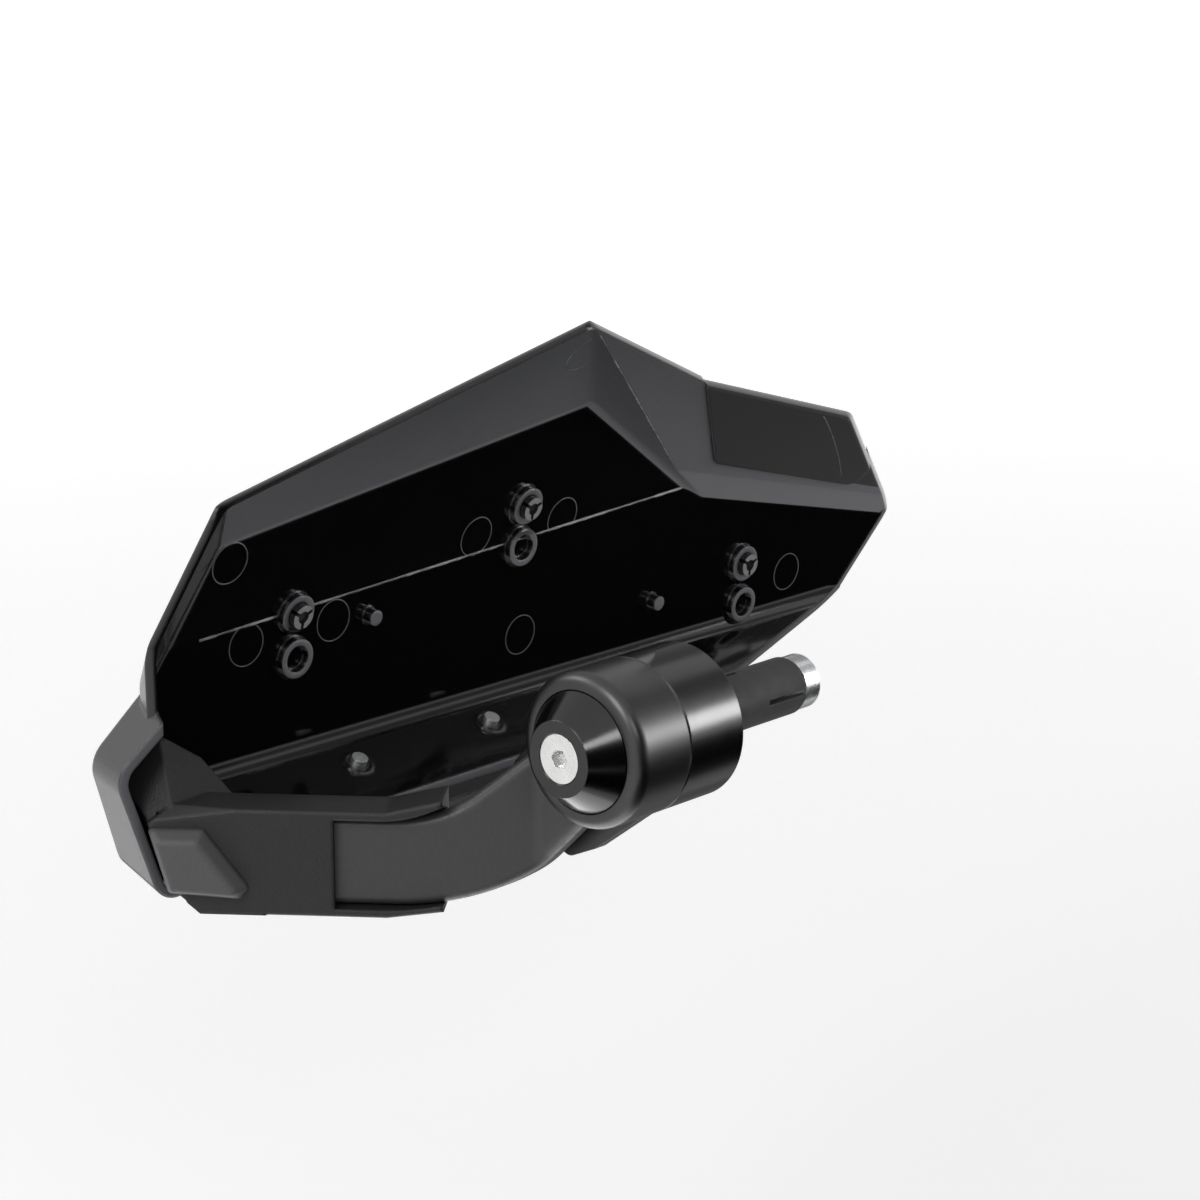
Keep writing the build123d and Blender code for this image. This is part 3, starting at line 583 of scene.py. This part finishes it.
def seen_directly(tree):
    """1 for rays from the camera, from mirrors and through glass, 0 for lighting rays."""
    path = tree.nodes.new("ShaderNodeLightPath")
    total = None
    for ray in ("Is Camera Ray", "Is Glossy Ray", "Is Transmission Ray"):
        if total is None:
            total = path.outputs[ray]
            continue
        most = tree.nodes.new("ShaderNodeMath")
        most.operation = "MAXIMUM"
        tree.links.new(total, most.inputs[0])
        tree.links.new(path.outputs[ray], most.inputs[1])
        total = most.outputs["Value"]
    return total


world = bpy.data.worlds.new("white_room")
scene.world = world
world.use_nodes = True
dome = world.node_tree.nodes["Background"]
dome.inputs["Color"].default_value = (1, 1, 1, 1)
dome_strength = between(world.node_tree, seen_directly(world.node_tree),
                        DOME_LIGHTS, DOME_SEEN, 0, 1)
world.node_tree.links.new(dome_strength, dome.inputs["Strength"])
print("dome lights with", DOME_LIGHTS, "and is seen as", DOME_SEEN)

# %% Floor
FLOOR_Z = -0.30
FLOOR_REACH = 14
FLOOR_WHITES = (0.87, 0.87, 0.87), (0.875, 0.875, 0.875)
FLOOR_GLOWS = (0.2, 0.58)
GLOW_REACH = (0.5, 2.2)
floor_mesh = bmesh.new()
bmesh.ops.create_grid(floor_mesh, x_segments=2, y_segments=2, size=FLOOR_REACH)
bmesh.ops.translate(floor_mesh, verts=floor_mesh.verts, vec=(0, 0, FLOOR_Z))
floor_data = bpy.data.meshes.new("floor")
floor_mesh.to_mesh(floor_data)
floor_mesh.free()
floor = bpy.data.objects.new("floor", floor_data)
scene.collection.objects.link(floor)
floor_paint, floor_tree, floor_shader, floor_place = start_finish("floor_paint", 0.9)
floor_shade = tint(floor_tree, grain(floor_tree, floor_place, 3), *FLOOR_WHITES)
floor_tree.links.new(floor_shade, floor_shader.inputs["Base Color"])
floor_shader.inputs["Emission Color"].default_value = (1, 1, 1, 1)
away = floor_tree.nodes.new("ShaderNodeVectorMath")
away.operation = "LENGTH"
floor_tree.links.new(floor_place, away.inputs[0])
glow = floor_tree.nodes.new("ShaderNodeMath")
glow.operation = "MULTIPLY"
floor_tree.links.new(seen_directly(floor_tree), glow.inputs[0])
floor_tree.links.new(between(floor_tree, away.outputs["Value"], *FLOOR_GLOWS, *GLOW_REACH),
                     glow.inputs[1])
floor_tree.links.new(glow.outputs["Value"], floor_shader.inputs["Emission Strength"])
floor_data.materials.append(floor_paint)
print("floor at", FLOOR_Z, "m")

# %% [markdown]
# ## Cards
# Polished black and dark metal show whatever they face. Behind the camera the picture has a dark
# room, beside the bar it has the dark rest of the machine, and inboard a window throws a bright
# band on the turned parts. A studio stands cards in those places. They are seen by mirrored rays
# alone, so they set the reflections and cast no shadow. A card is a corner and two edges, and it
# may brighten from its low x to its high x.

# %% Cards for the reflections
def card(name, corner, wide, deep, shade_low, shade_high=None):
    """A flat card from a corner and two edges, shaded along x."""
    corner, wide, deep = Vector(corner), Vector(wide), Vector(deep)
    mesh = bmesh.new()
    outline = (corner, corner + wide, corner + wide + deep, corner + deep)
    mesh.faces.new([mesh.verts.new(point) for point in outline])
    data = bpy.data.meshes.new(name)
    mesh.to_mesh(data)
    mesh.free()
    sheet = bpy.data.objects.new(name, data)
    scene.collection.objects.link(sheet)
    paint, tree, shader, place = start_finish(name + "_paint", 1.0)
    shader.inputs["Base Color"].default_value = (0, 0, 0, 1)
    shader.inputs["Specular IOR Level"].default_value = 0
    shader.inputs["Emission Color"].default_value = (1, 1, 1, 1)
    split = tree.nodes.new("ShaderNodeSeparateXYZ")
    tree.links.new(place, split.inputs["Vector"])
    sides = min(point.x for point in outline), max(point.x for point in outline) + MM
    high = shade_low if shade_high is None else shade_high
    tree.links.new(between(tree, split.outputs["X"], shade_low, high, *sides),
                   shader.inputs["Emission Strength"])
    paint.cycles.emission_sampling = "NONE"
    data.materials.append(paint)
    for ray in ("camera", "diffuse", "transmission", "volume_scatter", "shadow"):
        setattr(sheet, "visible_" + ray, False)
    return sheet


LOW = -0.25
cards = [card("black_card", (-0.3, -1.6, LOW), (2.5, 0, 0), (0, 1.5, 0), 0),
         card("bright_strip", (0, -0.10, LOW), (0.9, 0, 0), (0, 0.125, 0), 0.4, 1.0),
         card("grey_card", (0, 0.025, LOW), (0.9, 0, 0), (0, 0.335, 0), 0.12, 0.3),
         card("dark_floor", (-1.6, -1.5, LOW), (1.3, 0, 0), (0, 0.95, 0), 0.02),
         card("dim_card", (0.45, -0.75, 0.80), (0.8, 0, 0), (0, 0.6, 0), 0.3),
         card("dark_room", (-1.6, -1.5, -0.29), (1.9, 0, 0), (0, 0, 1.9), 0.02),
         card("bar_flag", (-0.01, 0, -0.02), (0.67, 0, 0), (0, 0, 0.05), 0.3),
         card("floor_glow", (-0.14, -0.04, LOW + 0.01), (0.26, 0, 0), (0, 0.24, 0), 3.0),
         card("window_band", (0.83, -1.09, 0.08), (0.33, 0.375, 0), (0, 0, 0.36), 15.0)]
print("cards:", ", ".join(sheet.name for sheet in cards))

# %% [markdown]
# ## Soft boxes
# Four soft boxes do the modelling. One hangs up and to the left and lights the carrier and the
# pod. One stands inboard on the rider's side, where the bright card gives the band on the turned
# parts, so it lights and is not mirrored. A small one beside the camera puts a glint on the end
# cap. The last one hangs in front, high to one side, and parts the facets of the outer face. Each
# is aimed with a track rotation, and its power follows from the brightness wanted: power is
# brightness times pi times area.

# %% Lamps
AIM = Vector((0.0, 0.05, 0.0))


def soft_box(name, place, wide, high, brightness):
    """An area lamp at a place, aimed at the object."""
    lamp = bpy.data.lights.new(name, "AREA")
    lamp.shape = "RECTANGLE"
    lamp.size, lamp.size_y = wide, high
    lamp.energy = brightness * math.pi * wide * high
    box = bpy.data.objects.new(name, lamp)
    box.location = place
    box.rotation_mode = "QUATERNION"
    box.rotation_quaternion = (AIM - Vector(place)).to_track_quat("-Z", "Y")
    scene.collection.objects.link(box)
    return box


soft_box("left_soft_box", (-0.95, -0.05, 0.65), 0.5, 0.5, 7.0)
soft_box("rider_soft_box", (1.02, -0.90, 0.32), 0.5, 0.36, 6.0).visible_glossy = False
soft_box("cap_soft_box", (-0.69, -0.93, 0.64), 0.28, 0.28, 10.0)
soft_box("front_soft_box", (-0.75, 1.05, 0.85), 0.5, 0.5, 6.0)

# %% [markdown]
# ## The camera
# The camera stands behind and outboard of the bar end, a little above it, with a long lens. Its
# axes are written as directions, so the picture can be checked against the object's own frame:
# the third axis of a camera points backwards, out of the lens towards the photographer.

# %% Camera
CAMERA_PLACE = Vector((-0.5444, -0.4733, 0.2213))
LOOKING = Vector((0.712, 0.653, -0.2593)).normalized()
lens = bpy.data.cameras.new("camera")
lens.lens = 99.6
lens.sensor_width = 36
lens.sensor_fit = "HORIZONTAL"
lens.clip_start, lens.clip_end = 0.01, 50
camera = bpy.data.objects.new("camera", lens)
right = LOOKING.cross(Vector((0, 0, 1))).normalized()
up = right.cross(LOOKING)
turned = Matrix((right, up, -LOOKING)).transposed().to_4x4()
camera.matrix_world = Matrix.Translation(CAMERA_PLACE) @ turned
scene.collection.objects.link(camera)
scene.camera = camera
print("camera looks down by", round(math.degrees(math.asin(-LOOKING.z)), 1), "degrees")

# %% [markdown]
# ## Finish
# The dressed object must not outgrow the solids it stands for. The last line updates the scene.

# %% Update the scene
bpy.context.view_layer.update()
